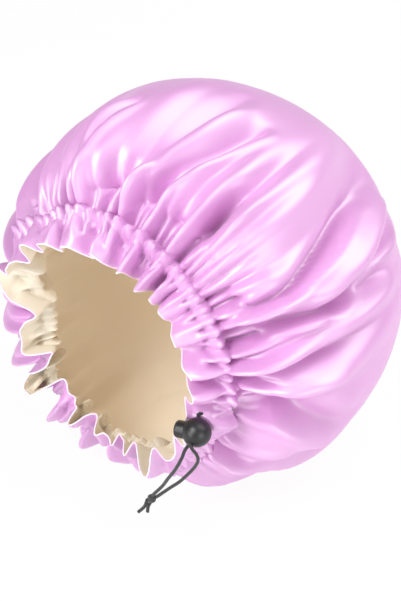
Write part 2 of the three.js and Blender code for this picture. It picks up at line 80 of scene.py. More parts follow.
# Drawcord, its two legs: round elastic cord of 2.2 mm, rubber strands in a braided black
# cover. The legs come out of the lock's bore and hang down to a knot that keeps the lock on.
cord_diameter = 2.2 * mm
strand_pitch = 2.5 * mm
cord_step = 1.1 * mm
ball_radius = 9.2 * mm
axis_height = 127 * mm
lock_place = Vector((78.7198, -103.3, 109.6923)) * mm
bore_way = Vector((0.25, -0.9, -0.35)).normalized()
button_side = Vector((-0.968, -0.227, -0.108))
side_way = bore_way.cross(button_side).normalized()
button_way = side_way.cross(bore_way)
bore_offset = 2 * mm
lock_middle = lock_place + button_way * bore_offset
bore_mouth = lock_middle + bore_way * ball_radius
bore_run = 0.8 * ball_radius
strand_split = 0.15 * mm

# Where the cord runs, in mm from the bore's mouth.
left_leg_route = [
    (0.1, -3.8, -2.2), (0.2, -6.3, -5.4), (-1.2, -8.2, -10.6), (-3.9, -9.2, -17),
    (-8, -9.9, -24.5), (-12.4, -10.7, -33),
]
right_leg_route = [
    (3.6, -1.2, -0.9), (6.7, -1.4, -2.9), (8.1, -1.3, -5.8), (7.9, -1.3, -9.2), (5.6, -2.2, -14.7),
    (1.4, -3.9, -21.6), (-3, -5.9, -28), (-8, -8, -33.6),
]
knot_from = (-11, -8.6, -34)
knot_place = (-19.3, -12.3, -45.4)
left_tail_route = [(-23, -15.4, -52.2), (-25.8, -18.2, -56.4)]
right_tail_route = [(-20.6, -14.6, -51.4), (-20.5, -15.6, -55.2)]


def from_mouth(route):
    return [bore_mouth + Vector(step) * mm for step in route]


knot_height = 2.6 * cord_diameter
knot_clearance = 0.3 * mm
knot_middle = from_mouth([knot_place])[0]
knot_way = (knot_middle - from_mouth([knot_from])[0]).normalized()
knot_across = knot_way.cross(bore_way).normalized()


def at_knot(along, side):
    """A strand's place at the knot: along -1 is where it goes in and 1 where it comes out."""
    reach = knot_height / 2 + knot_clearance
    spread = (strand_pitch + knot_clearance) / 2
    return knot_middle + knot_way * along * reach + knot_across * side * spread


def in_lock(along, side):
    return lock_middle + bore_way * along + side_way * side * strand_pitch / 2


def smooth_route(points, step):
    """Points every step along a Catmull-Rom curve through the given ones."""
    dense = []
    padded = [points[0] * 2 - points[1], *points, points[-1] * 2 - points[-2]]
    for before, start, end, after in zip(padded, padded[1:], padded[2:], padded[3:]):
        pieces = max(2, round((end - start).length / step))
        for piece in range(pieces):
            t = piece / pieces
            dense.append(0.5 * (
                2 * start + (end - before) * t + (2 * before - 5 * start + 4 * end - after) * t ** 2
                + (3 * start - before - 3 * end + after) * t ** 3
            ))
    return [*dense, points[-1].copy()]


def mesh_from(bm, name):
    mesh = bpy.data.meshes.new(name)
    bm.to_mesh(mesh)
    bm.free()
    return mesh


def add_piece(name, mesh):
    for polygon in mesh.polygons:
        polygon.use_smooth = True
    piece = bpy.data.objects.new(name, mesh)
    bpy.context.scene.collection.objects.link(piece)
    return piece


tube_sides = 20
half_grid = 0.5
weld_share = 0.01
cut_inset = 0.3
cut_swell = 0.25


def cord_tube(name, route, radius, material, closed_ends=True):
    """A round tube along the route, from a grid that is rolled up, with its map along the cord."""
    count = len(route)
    bm = bmesh.new()
    bm.loops.layers.uv.new("along")
    bmesh.ops.create_grid(bm, x_segments=tube_sides, y_segments=count - 1, size=half_grid, calc_uvs=True)
    ways = [(route[min(i + 1, count - 1)] - route[max(i - 1, 0)]).normalized() for i in range(count)]
    across = ways[0].orthogonal().normalized()
    frames = []
    for way in ways:
        across = (across - way * across.dot(way)).normalized()
        frames.append((across, way.cross(across)))
    for vert in bm.verts:
        turn = (vert.co.x + half_grid) * 2 * math.pi
        station = round((vert.co.y + half_grid) * (count - 1))
        first, second = frames[station]
        vert.co = route[station] + (first * math.cos(turn) + second * math.sin(turn)) * radius
    bmesh.ops.remove_doubles(bm, verts=bm.verts, dist=radius * weld_share)
    if closed_ends:
        edges = [edge for edge in bm.edges if edge.is_boundary]
        ends = bmesh.ops.holes_fill(bm, edges=edges, sides=0)
        inset = bmesh.ops.inset_region(
            bm, faces=ends["faces"], thickness=radius * cut_inset, depth=radius * cut_swell
        )
        for face in inset["faces"]:
            face.smooth = True
    bmesh.ops.recalc_face_normals(bm, faces=bm.faces)
    tube = add_piece(name, mesh_from(bm, name))
    tube.data.materials.append(material)
    return tube


def linear(hex_colour):
    """sRGB hex to linear colour."""
    channels = [int(hex_colour[i:i + 2], 16) / 255 for i in (1, 3, 5)]
    return (*[c / 12.92 if c <= 0.04045 else ((c + 0.055) / 1.055) ** 2.4 for c in channels], 1)


def add_node(tree, kind, **values):
    """A node with its settings, and its inputs linked or set by name, or by i and a number."""
    made = tree.nodes.new(kind)
    for key, value in values.items():
        if hasattr(made, key):
            setattr(made, key, value)
            continue
        numbered = key[0] == "i" and key[1:].isdigit()
        socket = made.inputs[int(key[1:]) if numbered else key.replace("_", " ")]
        if isinstance(value, bpy.types.NodeSocket):
            tree.links.new(value, socket)
        else:
            socket.default_value = value
    return made


def new_material(name, **values):
    """A material whose shader has its inputs set by name."""
    material = bpy.data.materials.new(name)
    material.use_nodes = True
    shader = material.node_tree.nodes["Principled BSDF"]
    for key, value in values.items():
        shader.inputs[key.replace("_", " ")].default_value = value
    return material


def drive(material, name, output):
    """An input of the material's shader, set by another node."""
    tree = material.node_tree
    tree.links.new(output, tree.nodes["Principled BSDF"].inputs[name])


# Braided cover: bundles of fine polyester yarn, wound both ways, give a dull black with small
# grey lozenges. These scales draw about 20 bundles round the cord and 80 along each leg.
braid_scale = (8, 45, 1)
braid_slant = 0.6
braid_depth = 0.2 * mm
braid = new_material("braided_black_elastic", Roughness=0.75, Sheen_Weight=0.35, Sheen_Roughness=0.5)
tree = braid.node_tree
map_node = add_node(tree, "ShaderNodeUVMap", uv_map="along")
bundles = []
for slant in (braid_slant, -braid_slant):
    wound = add_node(tree, "ShaderNodeMapping", i0=map_node.outputs[0], Scale=braid_scale,
                     Rotation=(0, 0, slant))
    bundles.append(add_node(tree, "ShaderNodeTexWave", wave_type="BANDS", bands_direction="X",
                            Vector=wound.outputs[0], Scale=1.0, Distortion=0.0))
plait = add_node(tree, "ShaderNodeMath", operation="MAXIMUM",
                 i0=bundles[0].outputs[1], i1=bundles[1].outputs[1])
tone = add_node(tree, "ShaderNodeMix", data_type="RGBA", Factor=plait.outputs[0],
                i6=linear("#0b0b0c"), i7=linear("#2e2e31"))
drive(braid, "Base Color", tone.outputs[2])
relief = add_node(tree, "ShaderNodeBump", Strength=0.5, Distance=braid_depth, Height=plait.outputs[0])
drive(braid, "Normal", relief.outputs[0])

legs = {}
for side_name, side, route in (("left", 1, left_leg_route), ("right", -1, right_leg_route)):
    points = smooth_route(
        [in_lock(strand_split, side), in_lock(bore_run, side), *from_mouth(route), at_knot(-1, side)],
        cord_step,
    )
    leg = cord_tube(f"drawcord_leg_{side_name}", points, cord_diameter / 2, braid)
    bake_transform(leg)
    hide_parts(f"cord_leg_{side_name}")
    legs[side_name] = (leg, points)

# Feeds and the cord in the casing: the same two strands go from the lock's back into the
# buttonhole, and there they are the two ends of one cord that runs round inside the casing.
rim_radius = 85.5 * mm
front_depth = 75 * mm
rim_setback = 2 * mm
rim_forward = front_depth - rim_setback
rim_swell = 5 * mm
rim_dent = 20 * mm
rim_dent_back = 5 * mm
swell_angle = 125
dent_angle = 187
dent_half_angle = 48
cloth_depth = 1.05 * mm
casing_start = -0.38 * mm
casing_length = 11 * mm
frill_length = 18 * mm
band_length = casing_length + frill_length
frill_draw = 7 * mm
frill_side_lean = 11.4 * mm
frill_drop = 14.3 * mm
most_lean_share = 0.95
lean_start_share = 0.35
least_bend = 0.001
channel_share = 0.19
hole_angle = -15
cord_end_angle = 6
ring_stations = 240

# Where each strand starts to rise, and the buttonhole's mouth: the share of its turn that is
# left there, and how far down and out it is.
rise_share = 0.6
hole_rise = {"rows_down": 1, "diameters_out": 0.2}
mouth_share = 0.25
hole_mouth = {"rows_down": 1.4, "diameters_out": 2}
behind_lock = -1.3 * ball_radius
behind_spread = 1.6
bore_back = -0.9 * ball_radius


def turn_between(angle, other):
    return (angle - other + 180) % 360 - 180


def hump(distance, half_width):
    """A smooth rise from 0 at the half width to 1 in the middle."""
    return np.cos(np.clip(np.abs(distance) / half_width, 0, 1) * np.pi / 2) ** 2


def nearness(angle, at, half_angle):
    return hump(turn_between(angle, at), half_angle)


def place(angle, radius, forward):
    """Points from an angle round the opening, a radius and a way forwards, in arrays."""
    turn = np.radians(angle)
    return np.stack([radius * np.cos(turn), -forward, axis_height + radius * np.sin(turn)], axis=-1)


def rim_at(angle):
    """The upper stitch row's radius, its way forwards and how far a dent sets it back."""
    dent = nearness(angle, dent_angle, dent_half_angle)
    radius = rim_radius + rim_swell * np.cos(np.radians(angle - swell_angle)) - rim_dent * dent
    return radius, rim_forward - rim_dent_back * dent, rim_dent_back * dent


def band_lean(angle):
    """Lean of the frill: inwards, and further to one side and down as it hangs."""
    turn = np.radians(angle)
    drawn = frill_draw + frill_side_lean * np.cos(turn) + frill_drop * np.sin(turn)
    lean = -np.arcsin(np.clip(drawn / band_length, -most_lean_share, most_lean_share))
    return np.where(np.abs(lean) < least_bend, least_bend, lean)


def band_place(angle, share, away):
    """A point of the casing and frill: share 0 is the upper stitch row, 1 the free edge."""
    rim, rim_ahead, _ = rim_at(angle)
    lean = band_lean(angle)
    start, end = lean_start_share * lean, (lean_start_share + share) * lean
    inward = band_length / lean * (np.cos(start) - np.cos(end))
    ahead = band_length / lean * (np.sin(end) - np.sin(start))
    return place(
        angle,
        rim - cloth_depth + inward + np.cos(end) * away,
        rim_ahead + casing_start + ahead - np.sin(end) * away,
    )


def in_casing(turn, rows_down=1.0, diameters_out=0.0):
    at = band_place(hole_angle + turn, rows_down * channel_share, diameters_out * cord_diameter)
    return Vector(at.tolist())


feeds = []
for side_name, side in (("left", -1), ("right", 1)):
    turn = side * cord_end_angle
    points = smooth_route(
        [
            in_casing(turn), in_casing(rise_share * turn, **hole_rise),
            in_casing(mouth_share * turn, **hole_mouth), in_lock(behind_lock, -behind_spread * side),
            in_lock(bore_back, -side), in_lock(-strand_split, -side),
        ],
        cord_step,
    )
    feed = cord_tube(f"drawcord_feed_{side_name}", points, cord_diameter / 2, braid)
    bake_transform(feed)
    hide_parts(f"cord_feed_{side_name}")
    feeds.append(feed)

ring_turns = np.linspace(cord_end_angle, 360 - cord_end_angle, ring_stations)
ring = cord_tube("drawcord_in_hem", [in_casing(turn) for turn in ring_turns], cord_diameter / 2, braid)
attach(ring, "bonnet")
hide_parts("drawcord_in_casing")

# Overhand knot and tails: both strands are tied together in one knot, and cut short below it.
# The cut ends show the pale rubber core.
knot_radius = 1.75 * mm
knot_taper = 0.25
knot_fill = 0.72
knot_turns = 1.4
knot_lean = 0.35
knot_lead = 0.1
knot_stations = 22
knot_step = 0.5 * mm
tail_step = 0.8 * mm


def knot_route(start_turn, side):
    """A strand's way through the knot: wound round the knot's own leaning axis."""
    axis = (knot_way + knot_across * knot_lean * side).normalized()
    first = axis.cross(bore_way).normalized()
    second = axis.cross(first)
    points = [at_knot(-1, side) + knot_way * knot_lead * mm]
    for station in range(knot_stations + 1):
        share = station / knot_stations
        turn = 2 * math.pi * (start_turn + knot_turns * share)
        wide = knot_radius * (1 - knot_taper + knot_taper * math.sin(math.pi * share))
        along = (share - 0.5) * knot_height * knot_fill
        points.append(
            knot_middle + axis * along + first * wide * math.cos(turn) + second * wide * math.sin(turn)
        )
    return [*points, at_knot(1, side) - knot_way * knot_lead * mm]


# Rubber core: a pale, matt face where the cord is cut.
core = new_material("pale_rubber_core", Base_Color=linear("#cfc9bd"), Roughness=0.7)

knot_parts = []
for start_turn, side in ((0.0, 1), (0.5, -1)):
    strand_route = smooth_route(knot_route(start_turn, side), knot_step)
    knot_parts.append(cord_tube("knot_strand", strand_route, cord_diameter / 2, braid))
knot = knot_parts[0]
bm = bmesh.new()
for part in knot_parts:
    bm.from_mesh(part.data)
bm.to_mesh(knot.data)
bm.free()
knot.name = "overhand_knot"
bpy.data.objects.remove(knot_parts[1])
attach(knot, "bonnet")
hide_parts("cord_knot")

tails = []
for side_name, side, route in (("left", 1, left_tail_route), ("right", -1, right_tail_route)):
    points = smooth_route([at_knot(1, side), *from_mouth(route)], tail_step)
    tail = cord_tube(f"drawcord_tail_{side_name}", points, cord_diameter / 2, braid)
    tail.data.materials.append(core)
    for polygon in tail.data.polygons:
        from_end = Vector(polygon.center) - points[-1]
        # Only the face of a cut end has more than four corners.
        if len(polygon.vertices) > 4 and from_end.length < cord_diameter:
            polygon.material_index = 1
    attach(tail, "bonnet")
    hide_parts(f"cord_tail_{side_name}")
    tails.append(tail)

for side_name, riders in (("left", [knot, *tails]), ("right", feeds)):
    leg, points = legs[side_name]

# Cord lock: a ball of black ABS with a push button, whose solids keep their shape, and between
# them a coil spring of 0.55 mm wire. Pressing the button 3 mm closes the spring by as much.
spring_wire = 0.55 * mm
coil_radius = 2.9 * mm
coil_turns = 4
coil_foot = -5.625 * mm
coil_head = -0.975 * mm
coil_stations = 36 * coil_turns

# Moulded ABS: near black, with a fine grain of 0.6 mm that breaks up its gloss.
grain_scale = 1600.0
grain_depth = 0.05 * mm
abs_plastic = new_material("black_abs_plastic", Base_Color=linear("#1d1d1f"), IOR=1.53)
tree = abs_plastic.node_tree
place_node = add_node(tree, "ShaderNodeTexCoord")
grain = add_node(tree, "ShaderNodeTexNoise", i0=place_node.outputs["Object"], Scale=grain_scale, Detail=3.0)
haze = add_node(tree, "ShaderNodeMapRange", Value=grain.outputs[0],
                From_Min=0.3, From_Max=0.7, To_Min=0.33, To_Max=0.45)
drive(abs_plastic, "Roughness", haze.outputs[0])
relief = add_node(tree, "ShaderNodeBump", Strength=0.12, Distance=grain_depth, Height=grain.outputs[0])
drive(abs_plastic, "Normal", relief.outputs[0])

# Zinc-plated spring steel: a bright grey with soft reflections.
steel = new_material("zinc_plated_spring_steel", Base_Color=linear("#b9bcc0"), Metallic=1, Roughness=0.32)

for node_name in ("cord_lock_body", "cord_lock_plunger"):
    node = bpy.data.objects[node_name]
    node.data.materials.clear()
    node.data.materials.append(abs_plastic)

coil_route = []
for station in range(coil_stations + 1):
    share = station / coil_stations
    turn = 2 * math.pi * coil_turns * share
    along = coil_foot + (coil_head - coil_foot) * share
    round_axis = side_way * math.cos(turn) + bore_way * math.sin(turn)
    coil_route.append(lock_place + button_way * along + round_axis * coil_radius)
spring = cord_tube("plunger_spring", coil_route, spring_wire / 2, steel)
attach(spring, "cord_lock")
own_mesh(spring)
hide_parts("cord_lock_spring")

# Outer satin: one circle of orchid-pink polyester satin, 0.35 mm thick, sewn face to face with
# the lining round its edge and turned. Two stitch rows make the casing, and the elastic cord
# gathers it there.
cloth_thickness = 0.35 * mm
body_radius = 136 * mm
crown_depth = 134 * mm
rim_blend = 8 * mm
floor_fade = 20 * mm
body_slack = 7 * mm
slack_rise = 40 * mm
slack_fade = 60 * mm
slack_places = [
    {"at": 145, "half": 32, "deep": 0.9}, {"at": 202, "half": 27, "deep": -1.6},
    {"at": 237, "half": 40, "deep": -1.6}, {"at": 296, "half": 40, "deep": 0.9},
]
columns = 624
run_stations = 400


def smooth(value, full):
    share = np.clip(value / full, 0, 1)
    return share * share * (3 - 2 * share)


def arc_run(across, along, turn):
    steps = np.linspace(0, turn, run_stations)
    return float(np.sum(np.hypot(np.diff(across * np.cos(steps)), np.diff(along * np.sin(steps)))))


front_turn = math.pi - math.asin(rim_forward / front_depth)


def front_middle(radius):
    return (radius - body_radius * math.cos(front_turn)) / (1 - math.cos(front_turn))


# Satin hardly stretches, so the circle's radius is the way over the cloth from the crown's
# middle to the free edge, and all that it is too wide for lies in the folds.
front_run = arc_run(body_radius - front_middle(rim_radius), front_depth, front_turn)
crown_run = arc_run(body_radius, crown_depth, math.pi / 2)
cut_radius = crown_run + front_run + band_length
cut_width = 2 * cut_radius

# Gathers: how unevenly they stand round the opening, and how they calm down at the buttonhole.
gather_count = 26
gather_mean = 0.75
gather_shifts = [
    {"size": 0.4, "times": 2, "shift": 1}, {"size": 0.2, "times": 5, "shift": 4},
    {"size": 0.1, "times": 9, "shift": 2},
]
gather_sways = [{"size": 0.17, "times": 5, "shift": 1}, {"size": 0.12, "times": 9, "shift": 0}]
smoothed_share = 0.9
smoothed_half_angle = 22
calm_half_angle = 13


def beside_hole(angle):
    return nearness(angle, hole_angle, smoothed_half_angle)


def summed(waves, turn):
    return sum(wave["size"] * np.sin(np.radians(wave["times"] * turn) + wave["shift"]) for wave in waves)


def cloth_angle(turn):
    """Where an even turn of the cloth lies round the opening: the gathers stand unevenly."""
    return turn + 360 / gather_count * summed(gather_shifts, turn) * (1 - beside_hole(turn))


def gather_share(angle):
    kept = 1 - smoothed_share * nearness(angle, hole_angle, calm_half_angle)
    return (gather_mean + summed(gather_sways, angle)) * kept


def wander(draws, angle, size, least, most):
    """A smooth uneven value round the opening, about as large as size, from waves that go round
    it between least and most times."""
    turn = np.radians(angle)
    total = np.zeros_like(turn)
    for times in range(least, most + 1):
        total = total + draws.normal() * np.sin(times * turn + draws.uniform(0, 2 * np.pi))
    return total * size / math.sqrt(most - least + 1)


def ripple(draws, angle, along, count, sharp, uneven, lean):
    """Ridges round the opening, from 0 in the creases to 1, wandering a little as they run."""
    phase = np.radians(angle) * count / 2 + wander(draws, angle, uneven, least=2, most=9)
    phase = phase + along * wander(draws, angle, lean, least=2, most=7)
    return np.abs(np.sin(phase)) ** sharp


# Folds that the photograph shows: places run (angle in degrees, mm from the stitch row). A
# positive depth is a valley and a negative one a ridge. A valley is steeper on one side, and
# has a low shoulder on both.
shown_folds = [
    {"run": [(110, 58), (108, 74), (105, 92)], "width": 4, "depth": 8},
    {"run": [(101, 14), (95, 40), (90, 60), (85, 130)], "width": 11, "depth": 8},
    {"run": [(79, 26), (80, 47), (78, 69), (73, 112)], "width": 7, "depth": 9},
    {"run": [(60, 36), (61, 55), (62, 74)], "width": 8, "depth": 9},
    {"run": [(33, 70), (40, 115), (45, 175)], "width": 15, "depth": 10},
    {"run": [(40, 0), (33, 39), (32, 67), (35, 90), (41, 140)], "width": 5, "depth": 8},
    {"run": [(26, 22), (24, 57), (21, 90)], "width": 4.5, "depth": 8},
    {"run": [(21, 86), (20, 145)], "width": 8, "depth": 8},
    {"run": [(20, 85), (26, 134), (28, 175)], "width": 5, "depth": 6},
    {"run": [(11, 0), (9, 55), (1, 90)], "width": 9, "depth": -5},
    {"run": [(2, 8), (2, 75)], "width": 8, "depth": -4},
    {"run": [(359, 2), (356, 39), (338, 95)], "width": 12, "depth": 10},
    {"run": [(319, 4), (330, 58)], "width": 14, "depth": -5},
    {"run": [(139, 24), (153, 2)], "width": 4, "depth": 8},
]
shown_depth = 1.5
shown_overrun = 0.12
shown_fade = 0.7
steep_side = 1.6
easy_side = 0.85
shoulder_height = 0.35
shoulder_at = 2.1
shoulder_width = 0.9
shown_start = 4 * mm


def shown_lift(angle, from_rim, radius):
    lift = np.zeros_like(angle)
    for fold in shown_folds:
        run = sorted(fold["run"], key=lambda step: step[1])
        starts = [step[1] * mm for step in run]
        turns = np.unwrap([step[0] for step in run], period=360)
        middle = np.interp(from_rim, starts, turns)
        reach = (from_rim - starts[0]) / (starts[-1] - starts[0])
        inside = (reach > -shown_overrun) & (reach < 1 + shown_overrun)
        swell = np.cos(np.clip((reach - 0.5) / (1 + 2 * shown_overrun), -0.5, 0.5) * np.pi)
        along = np.where(inside, swell, 0)
        apart = np.radians(turn_between(angle, middle)) * radius / (fold["width"] * mm)
        apart = np.where(apart < 0, steep_side * apart, easy_side * apart)
        shoulder = np.exp(-((np.abs(apart) - shoulder_at) ** 2) / shoulder_width)
        across = np.exp(-apart ** 2) - shoulder_height * shoulder
        lift = lift - shown_depth * fold["depth"] * mm * along ** shown_fade * across
    return lift


# Rows of the cloth: where their spacing changes, and how many each stretch has.
row_stops = [-150 * mm, -45 * mm, -9 * mm, 0, casing_length, band_length]
row_counts = [24, 26, 18, 8, 11, 18]


def cloth_rows():
    """Distances past the upper stitch row, from the crown's middle to the frill's free edge."""
    starts = [-(crown_run + front_run), *row_stops]
    return np.concatenate([
        np.linspace(start, stop, count, endpoint=stop == band_length)
        for start, stop, count in zip(starts, row_stops, row_counts)
    ])


def slack_lift(angle, from_rim):
    """How far the body sags in, or out where a place is less than 0 deep."""
    along = smooth(from_rim, slack_rise) * (1 - smooth(from_rim - front_run, slack_fade))
    deep = sum(slack["deep"] * nearness(angle, slack["at"], slack["half"]) for slack in slack_places)
    return -body_slack * along * deep


def body_form(angle, from_rim):
    """Radius, forward and the outward direction of the puffed body without its folds."""
    rim, _, back = rim_at(angle)
    crown = from_rim > front_run
    turn = np.clip(1 - (from_rim - front_run) / crown_run, 0, 1) * np.pi / 2
    share = np.clip(1 - from_rim / front_run, 0, 1)
    front = share * front_turn
    middle = front_middle(rim)
    radius = np.where(crown, body_radius * np.sin(turn), middle + (body_radius - middle) * np.cos(front))
    forward = np.where(crown, -crown_depth * np.cos(turn), front_depth * np.sin(front) - back * share ** 2)
    across = np.where(crown, crown_depth * np.sin(turn), front_depth * np.cos(front))
    along = np.where(crown, -body_radius * np.cos(turn), (body_radius - middle) * np.sin(front))
    length = np.hypot(across, along)
    radial = 1 - smooth(from_rim, rim_blend)
    return radius, forward, across / length * (1 - radial) + radial, along / length * (1 - radial)


def body_points(angle, from_rim, lift):
    radius, forward, out_radius, out_forward = body_form(angle, from_rim)
    free = smooth(axis_height + radius * np.sin(np.radians(angle)), floor_fade)
    lift = (lift + slack_lift(angle, from_rim)) * free - cloth_depth
    return place(angle, radius + out_radius * lift, forward + out_forward * lift)


def band_points(angle, turned, down, swing, away):
    """The casing and frill, followed down from the stitch row with their swing in and out."""
    rim, rim_ahead, _ = rim_at(angle)
    way = (lean_start_share + down / band_length) * band_lean(angle) + swing
    step = np.diff(down, axis=0, prepend=0)
    radius = rim - cloth_depth + np.cumsum(np.sin(way) * step, axis=0)
    forward = rim_ahead + casing_start + np.cumsum(np.cos(way) * step, axis=0)
    return place(turned, radius + np.cos(way) * away, forward - np.sin(way) * away)


# The body's folds, from the stitch row back: ridges at the gathers, puckers between them, and
# the broad folds and swells that they run out into, calmer where the shown folds lie.
fold_seed = 11
least_height = 0.45
most_height = 1.7
ridge_stray = 0.25
ridge_sharpness = 0.8
ridge_rounding = 40 * mm
ridge_middle = 0.6
seam_height = 19 * mm
seam_swell = 0.25
seam_swell_reach = 32 * mm
seam_fade = 140 * mm
pucker_height = 17 * mm
pucker_middle = 0.6
pucker_fade = 75 * mm
pucker_ripple = {"count": 68, "sharp": 1.1, "uneven": 1.2, "lean": 6}
fold_middle = 0.55
fold_ripple = {"count": 15, "sharp": 1.2, "uneven": 1.6, "lean": 9}
swell_ripple = {"count": 9, "sharp": 1.6, "uneven": 1.2, "lean": 4}
fold_kinds = [
    {"ripple": fold_ripple, "height": 16 * mm, "rise": 45 * mm, "fade": 190 * mm, "calm": 0.6},
    {"ripple": swell_ripple, "height": 5 * mm, "rise": 110 * mm, "fade": 330 * mm, "calm": 0.5},
]
shown_angle = 62
shown_half_angle = 115

# The frill's lobes: narrow ones at each gather, and round the lower left wide ones over two.
# Angles in degrees say where, and swings how far a lobe turns in and out.
wide_angle = 215
wide_half_angle = 100
wide_shift = 1
wide_swing = math.radians(57)
narrow_swing = math.radians(70)
narrow_middle = 0.62
inward_swing = math.radians(24)
tucked_angle = 258
tucked_half_angle = 80
tucked_swing = math.radians(70)
tucked_calm = 0.3
flutter_swing = math.radians(14)
flutter_beat = 1.5
flutter_sway = 2
lobe_sway = 0.9
lobe_stray = 0.5
frill_start = 0.6 * casing_length
frill_rise = 0.55 * frill_length
casing_swing = 0.3
casing_swing_rise = 5 * mm
edge_curl = 0.9
curl_start = 0.72 * band_length
curl_reach = 0.28 * band_length
ridge_ease = 0.5
pucker_ease = 0.4
crease_height = 6 * mm
crease_middle = 0.6
crease_ripple = {"count": 52, "sharp": 0.9, "uneven": 2.5, "lean": 190}
frill_wave = 6.5 * mm
wave_calm = 0.3
narrow_slip = 0.07
wide_slip = 0.17
slip_start = 0.9 * casing_length
broad_puff = 0.5
fine_puff = 0.8


def cloth_form(turns, past):
    """The middle surface between the two layers as rows of points, the same body without any
    gathers, and how high each gather's ridge stands."""
    draws = np.random.default_rng(fold_seed)
    angle = cloth_angle(turns)
    from_rim = np.maximum(-past, 0)
    even = np.radians(gather_count * turns)
    uneven_height = 1 + wander(draws, angle, size=0.45, least=4, most=14)
    height = gather_share(angle) * np.clip(uneven_height, least_height, most_height)
    shown = nearness(angle, shown_angle, shown_half_angle)
    ridge_turn = even / 2 + ridge_stray * wander(draws, angle, size=1, least=5, most=20)
    ridges = np.abs(np.cos(ridge_turn)) ** (ridge_sharpness + smooth(from_rim, ridge_rounding))
    puckers = ripple(draws, angle, from_rim, **pucker_ripple)
    at_seam = seam_height * (ridges - ridge_middle) * height
    crumples = pucker_height * (puckers - pucker_middle) * height
    lift = at_seam * (1 + seam_swell * smooth(from_rim, seam_swell_reach)) * (1 - smooth(from_rim, seam_fade))
    lift = lift + crumples * (1 - smooth(from_rim, pucker_fade))
    for kind in fold_kinds:
        folds = ripple(draws, angle, from_rim, **kind["ripple"])
        risen = kind["height"] * (folds - fold_middle) * smooth(from_rim, kind["rise"])
        lift = lift + risen * (1 - smooth(from_rim, kind["fade"])) * (1 - kind["calm"] * shown)

    down = np.maximum(past, 0)
    in_frill = smooth(down - frill_start, frill_rise)
    wide = nearness(angle, wide_angle, wide_half_angle)
    sway = lobe_sway * wander(draws, angle, size=1, least=4, most=15) * smooth(down, band_length)
    broad_turn = even / 2 + wide_shift + lobe_stray * wander(draws, angle, size=1, least=3, most=9) + sway
    tucked = nearness(angle, tucked_angle, tucked_half_angle)
    uneven = 1 + wander(draws, angle, size=0.3, least=6, most=18)
    swing = narrow_swing * (ridges - narrow_middle) * (1 - wide) + wide_swing * np.cos(broad_turn) * wide
    flutter_turn = flutter_beat * even + wander(draws, angle, size=2.5, least=2, most=7) + flutter_sway * sway
    swing = swing + flutter_swing * np.cos(flutter_turn)
    swing = swing * (1 - tucked_calm * tucked) * height / gather_mean * uneven
    swing = swing * (casing_swing * smooth(down, casing_swing_rise) + (1 - casing_swing) * in_frill)
    swing = swing * (1 - edge_curl * smooth(down - curl_start, curl_reach))
    turned_in = inward_swing * wide + tucked_swing * tucked
    swing = swing - turned_in * smooth(down - frill_start, frill_length / 2)
    creases = ripple(draws, angle, down, **crease_ripple)
    away = at_seam * (1 - ridge_ease * in_frill) + crumples * (1 - pucker_ease * in_frill)
    away = away + crease_height * (creases - crease_middle) * in_frill * height
    pitch = 2 * np.pi * rim_radius / gather_count
    slip = narrow_slip * pitch * np.sin(2 * even) * (1 - wide)
    slip = slip + wide_slip * pitch * np.sin(2 * broad_turn) * wide
    wave = frill_wave * wander(draws, angle, size=0.45, least=5, most=13) * np.cos(even)
    slip = slip + wave * (1 - wave_calm * wide)
    turned = angle + np.degrees(slip * smooth(down - slip_start, frill_length) * height / rim_radius)
    band = band_points(angle, turned, down, swing, away)
    body = body_points(angle, from_rim, lift)
    plain = body_points(angle, from_rim, 0)
    in_band = (past > 0)[..., None]
    relief = (broad_puff * ridges + fine_puff * puckers) * height / gather_mean
    calm = band_place(angle, down / band_length, 0)
    return np.where(in_band, band, body), np.where(in_band, calm, plain), relief


eased_shift = 3 * mm
eased_reach = 18 * mm
eased_rounds = 50
edge_rounds = 15
ease_step = 0.5


def eased(points, past):
    """The corner at the upper stitch row rounded off: the cloth flows through it in its gathers."""
    near = hump(past + eased_shift, eased_reach)[1:-1, :, None]
    for _ in range(eased_rounds):
        between = (points[:-2] + points[2:]) / 2
        points = points.copy()
        points[1:-1] += ease_step * near * (between - points[1:-1])
    return points


def rounded_edge(points, past):
    """The frill's edge has four layers of cloth in its seam, so it bends in rounder curves."""
    near = smooth(past - casing_length, frill_length)[..., None]
    for _ in range(edge_rounds):
        between = (np.roll(points, 1, axis=1) + np.roll(points, -1, axis=1)) / 2
        points = points + ease_step * near * (between - points)
    return points


least_length = 1e-12


def unit(vectors):
    return vectors / np.maximum(np.linalg.norm(vectors, axis=-1, keepdims=True), least_length)


def grid_normals(points):
    """Normals of a closed grid of points, turned outwards as a row on the crown shows it."""
    across = np.roll(points, -1, axis=1) - np.roll(points, 1, axis=1)
    along = np.gradient(points, axis=0)
    normals = unit(np.cross(along, across))
    crown_row = points.shape[0] // 3
    from_middle = points[crown_row] - np.array([0, 0, axis_height])
    outward = np.sum(normals[crown_row] * from_middle, axis=-1).mean()
    return normals * (1 if outward > 0 else -1)


seam_gap = 0.4 * mm
body_gap = 1.1 * mm
body_gap_start = 10 * mm
body_gap_rise = 70 * mm
frill_gap = 0.5 * mm
frill_gap_rise = 4 * mm
edge_reach = 2 * mm


def layer_gap(past):
    """Distance between the middles of the two layers, least in the stitch rows."""
    body = body_gap * smooth(-past - body_gap_start, body_gap_rise)
    frill = frill_gap * smooth(past - casing_length, frill_gap_rise)
    return seam_gap + body + frill * (1 - smooth(past - band_length + edge_reach, edge_reach))


cord_cover = 0.4 * mm
cover_half_width = 3.6 * mm
cover_flatness = 0.5
puff_height = 9 * mm
puff_flatness = 0.35
stitch_margin = 2 * mm
cover_end = 1.25 * casing_length


def from_axis(points):
    """Distance from the opening's axis."""
    return np.hypot(points[..., 0], points[..., 2] - axis_height)


